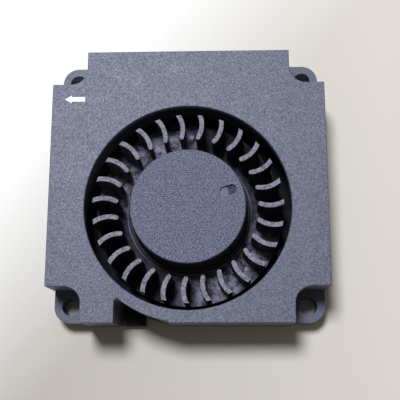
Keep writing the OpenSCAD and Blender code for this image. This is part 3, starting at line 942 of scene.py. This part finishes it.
@dataclass
class HubMotor:
    """The motor inside the hub: each solid keeps its shape and gets its finish."""

    axis: Spot
    coils: int = 4

    def metals(self) -> dict[str, Finish]:
        """The finishes of the turned, drawn, stacked and wound pieces.

        Returns:
            Finishes by node name.
        """
        brass = WorkedMetal("turned_brass", (0.72, 0.53, 0.24), Lay.TURNED, self.axis)
        wire = WorkedMetal("enamelled_copper", (0.62, 0.25, 0.1), Lay.WOUND, self.axis,
                           pitch=0.16, depth=0.03, roughness=0.28)
        found = {"stator_core": WorkedMetal("core_steel", (0.5, 0.5, 0.52), Lay.STACKED,
                                            self.axis, pitch=0.35, depth=0.01, roughness=0.42),
                 "rotor_yoke": WorkedMetal("yoke_steel", (0.58, 0.58, 0.6), Lay.DRAWN, self.axis,
                                           pitch=0.4, roughness=0.3),
                 "shaft": WorkedMetal("shaft_steel", (0.7, 0.7, 0.72), Lay.TURNED, self.axis,
                                      pitch=0.06, depth=0.001, roughness=0.16)}
        found |= dict.fromkeys(("bearing_tube", "shaft_bush", "winding_pins"), brass)
        found |= {f"coil_{index + 1}": wire for index in range(self.coils)}
        return found

    def finishes(self) -> dict[str, Finish]:
        """The finish of each of the motor's nodes.

        Returns:
            Finishes by node name.
        """
        natural = MouldedPlastic("natural_plastic", (0.78, 0.76, 0.7),
                                 SparkGrain(size=0.3, crest=0.4, depth=0.004), contrast=0.06)
        epoxy = MouldedPlastic("chip_epoxy", (0.03, 0.03, 0.034),
                               SparkGrain(size=0.1, crest=0.15, depth=0.003), contrast=0.3)
        found = {"sleeve_bearing": PorousSolid("sintered_bronze", (0.45, 0.32, 0.2), 0.18, 1.0),
                 "rotor_magnet": PorousSolid("magnet_compound", (0.07, 0.066, 0.066), 0.3, 0.0),
                 "chip_capacitor": PorousSolid("capacitor_ceramic", (0.5, 0.38, 0.25), 0.15, 0.0),
                 "circuit_board": BoardLaminate("board_laminate", (0.05, 0.25, 0.13), self.axis)}
        found |= dict.fromkeys(("thrust_pad", "lower_insulator", "upper_insulator",
                                "slinger_washer", "retaining_ring"), natural)
        found |= dict.fromkeys(("driver_ic", "hall_sensor", "chip_resistors",
                                "reverse_diode"), epoxy)
        return self.metals() | found

    def dress(self, nodes: dict[str, bpy.types.Object]) -> None:
        """Puts the finishes on the solids.

        Args:
            nodes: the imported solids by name.
        """
        made: dict[str, bpy.types.Material] = {}
        for name, finish in self.finishes().items():
            if finish.name not in made:
                made[finish.name] = finish.make()
            slots = nodes[name].data.materials
            for index in range(len(slots)):
                slots[index] = made[finish.name]
            if not len(slots):
                slots.append(made[finish.name])
            LOG.info("%s: %s", name, finish.name)


# ---------------------------------------------------------------- studio

@dataclass(frozen=True)
class Lamp:
    """A round, flat lamp that faces the blower."""

    name: str
    place: Place
    width: float
    power: float                         # in watts
    colour: Colour = (0.97, 1.0, 1.1)

    def hang(self) -> None:
        """Hangs the lamp and turns it to the middle of the blower."""
        light = bpy.data.lights.new(self.name, "AREA")
        light.shape = "DISK"
        light.size = self.width * MM
        light.energy = self.power
        light.color = self.colour
        made = bpy.data.objects.new(self.name, light)
        made.location = Vector(self.place) * MM
        made.rotation_euler = made.location.to_track_quat("Z", "Y").to_euler()
        bpy.context.scene.collection.objects.link(made)


@dataclass
class Studio:
    """Pale floor painted with light and shade, one soft lamp behind to the left and a dim even surround.
    """

    key: Lamp = Lamp("key_lamp", (-95.0, 212.0, 556.0), width=175.0, power=3.5)
    ambient: float = 0.12
    ambient_colour: Colour = (1.0, 0.96, 0.92)
    floor_width: float = 4000.0
    floor_gap: float = 0.02              # keeps the floor clear of the blower's underside
    # the floor is painted darker towards the front and near white behind to the left, as painted light and
    # shade of the lamp
    near_shade_colour: Colour = (0.55, 0.505, 0.436)
    right_shade_colour: Colour = (0.77, 0.715, 0.615)
    side_span: Span = (-30.0, 34.0)      # along X, from the near colour to the right one
    far_light_colour: Colour = (1.0, 0.985, 0.9)
    far_slope: float = 0.8               # how much Y counts against X towards the far colour
    far_span: Span = (-2.0, 34.0)
    floor_roughness: float = 0.7
    floor_specular: float = 0.2

    def floor(self) -> None:
        """Lays the floor under the blower, with painted light and shade across it."""
        mesh = bmesh.new()
        bmesh.ops.create_grid(mesh, x_segments=1, y_segments=1, size=self.floor_width * MM / 2)
        bmesh.ops.translate(mesh, verts=mesh.verts[:], vec=(0, 0, -self.floor_gap * MM))
        data = bpy.data.meshes.new("floor")
        mesh.to_mesh(data)
        mesh.free()
        graph = Graph("floor_paint")
        _, x, y, _ = graph.place()
        near = graph.blend(x.ramp(*self.side_span), self.near_shade_colour, self.right_shade_colour)
        far = (y * self.far_slope - x).ramp(*self.far_span)
        colour = graph.blend(far, near, self.far_light_colour)
        data.materials.append(graph.surface(colour, self.floor_roughness,
                                            specular=self.floor_specular))
        made = bpy.data.objects.new("floor", data)
        bpy.context.scene.collection.objects.link(made)

    def surround(self) -> None:
        """Fills the surround with dim, even light."""
        world = bpy.data.worlds.new("surround")
        world.use_nodes = True
        graph = NodeTree(world.node_tree)
        dim = graph.node("ShaderNodeBackground", None,
                         {"Color": self.ambient_colour, "Strength": self.ambient})
        graph.node("ShaderNodeOutputWorld", None, {"Surface": Signal(graph, dim.outputs[0])})
        bpy.context.scene.world = world

    def build(self) -> None:
        """Sets up floor, lamp and surround."""
        self.floor()
        self.key.hang()
        self.surround()


@dataclass
class Viewpoint:
    """The camera: above the blower, a little in front of it."""

    place: Place = (5.65, -29.7, 127.75)
    right: Place = (0.9995, -0.0005, -0.0312)    # the camera's own X, Y and Z, as directions
    up: Place = (0.0074, 0.9755, 0.2201)
    back: Place = (0.0303, -0.2202, 0.9750)
    lens: float = 67.98
    sensor: float = 36.0
    clip_start: float = 1.0
    clip_end: float = 10000.0

    def build(self) -> None:
        """Makes the camera and sets it as the scene's."""
        data = bpy.data.cameras.new("viewpoint")
        data.sensor_width = self.sensor
        data.lens = self.lens
        data.clip_start = self.clip_start * MM
        data.clip_end = self.clip_end * MM
        made = bpy.data.objects.new("viewpoint", data)
        turned = Matrix((self.right, self.up, self.back)).transposed().to_4x4()
        turned.translation = Vector(self.place) * MM
        made.matrix_world = turned
        bpy.context.scene.collection.objects.link(made)
        bpy.context.scene.camera = made


def main() -> None:
    """Builds the whole scene in order."""
    logging.basicConfig(level=logging.INFO, format="%(name)s: %(message)s")
    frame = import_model()
    scene = bpy.context.scene
    scene.view_settings.view_transform = "Standard"
    Viewpoint().build()
    Studio().build()
    low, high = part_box("impeller")
    axis = ((low[0] + high[0]) / 2 / MM, (low[1] + high[1]) / 2 / MM)
    arrow = FlowArrow()
    ScrollHousing(axis, arrow.height).build()
    arrow.build()
    BladedRotor(axis).build()
    HubMotor(axis).dress(frame["nodes"])


if __name__ == "__main__":
    main()
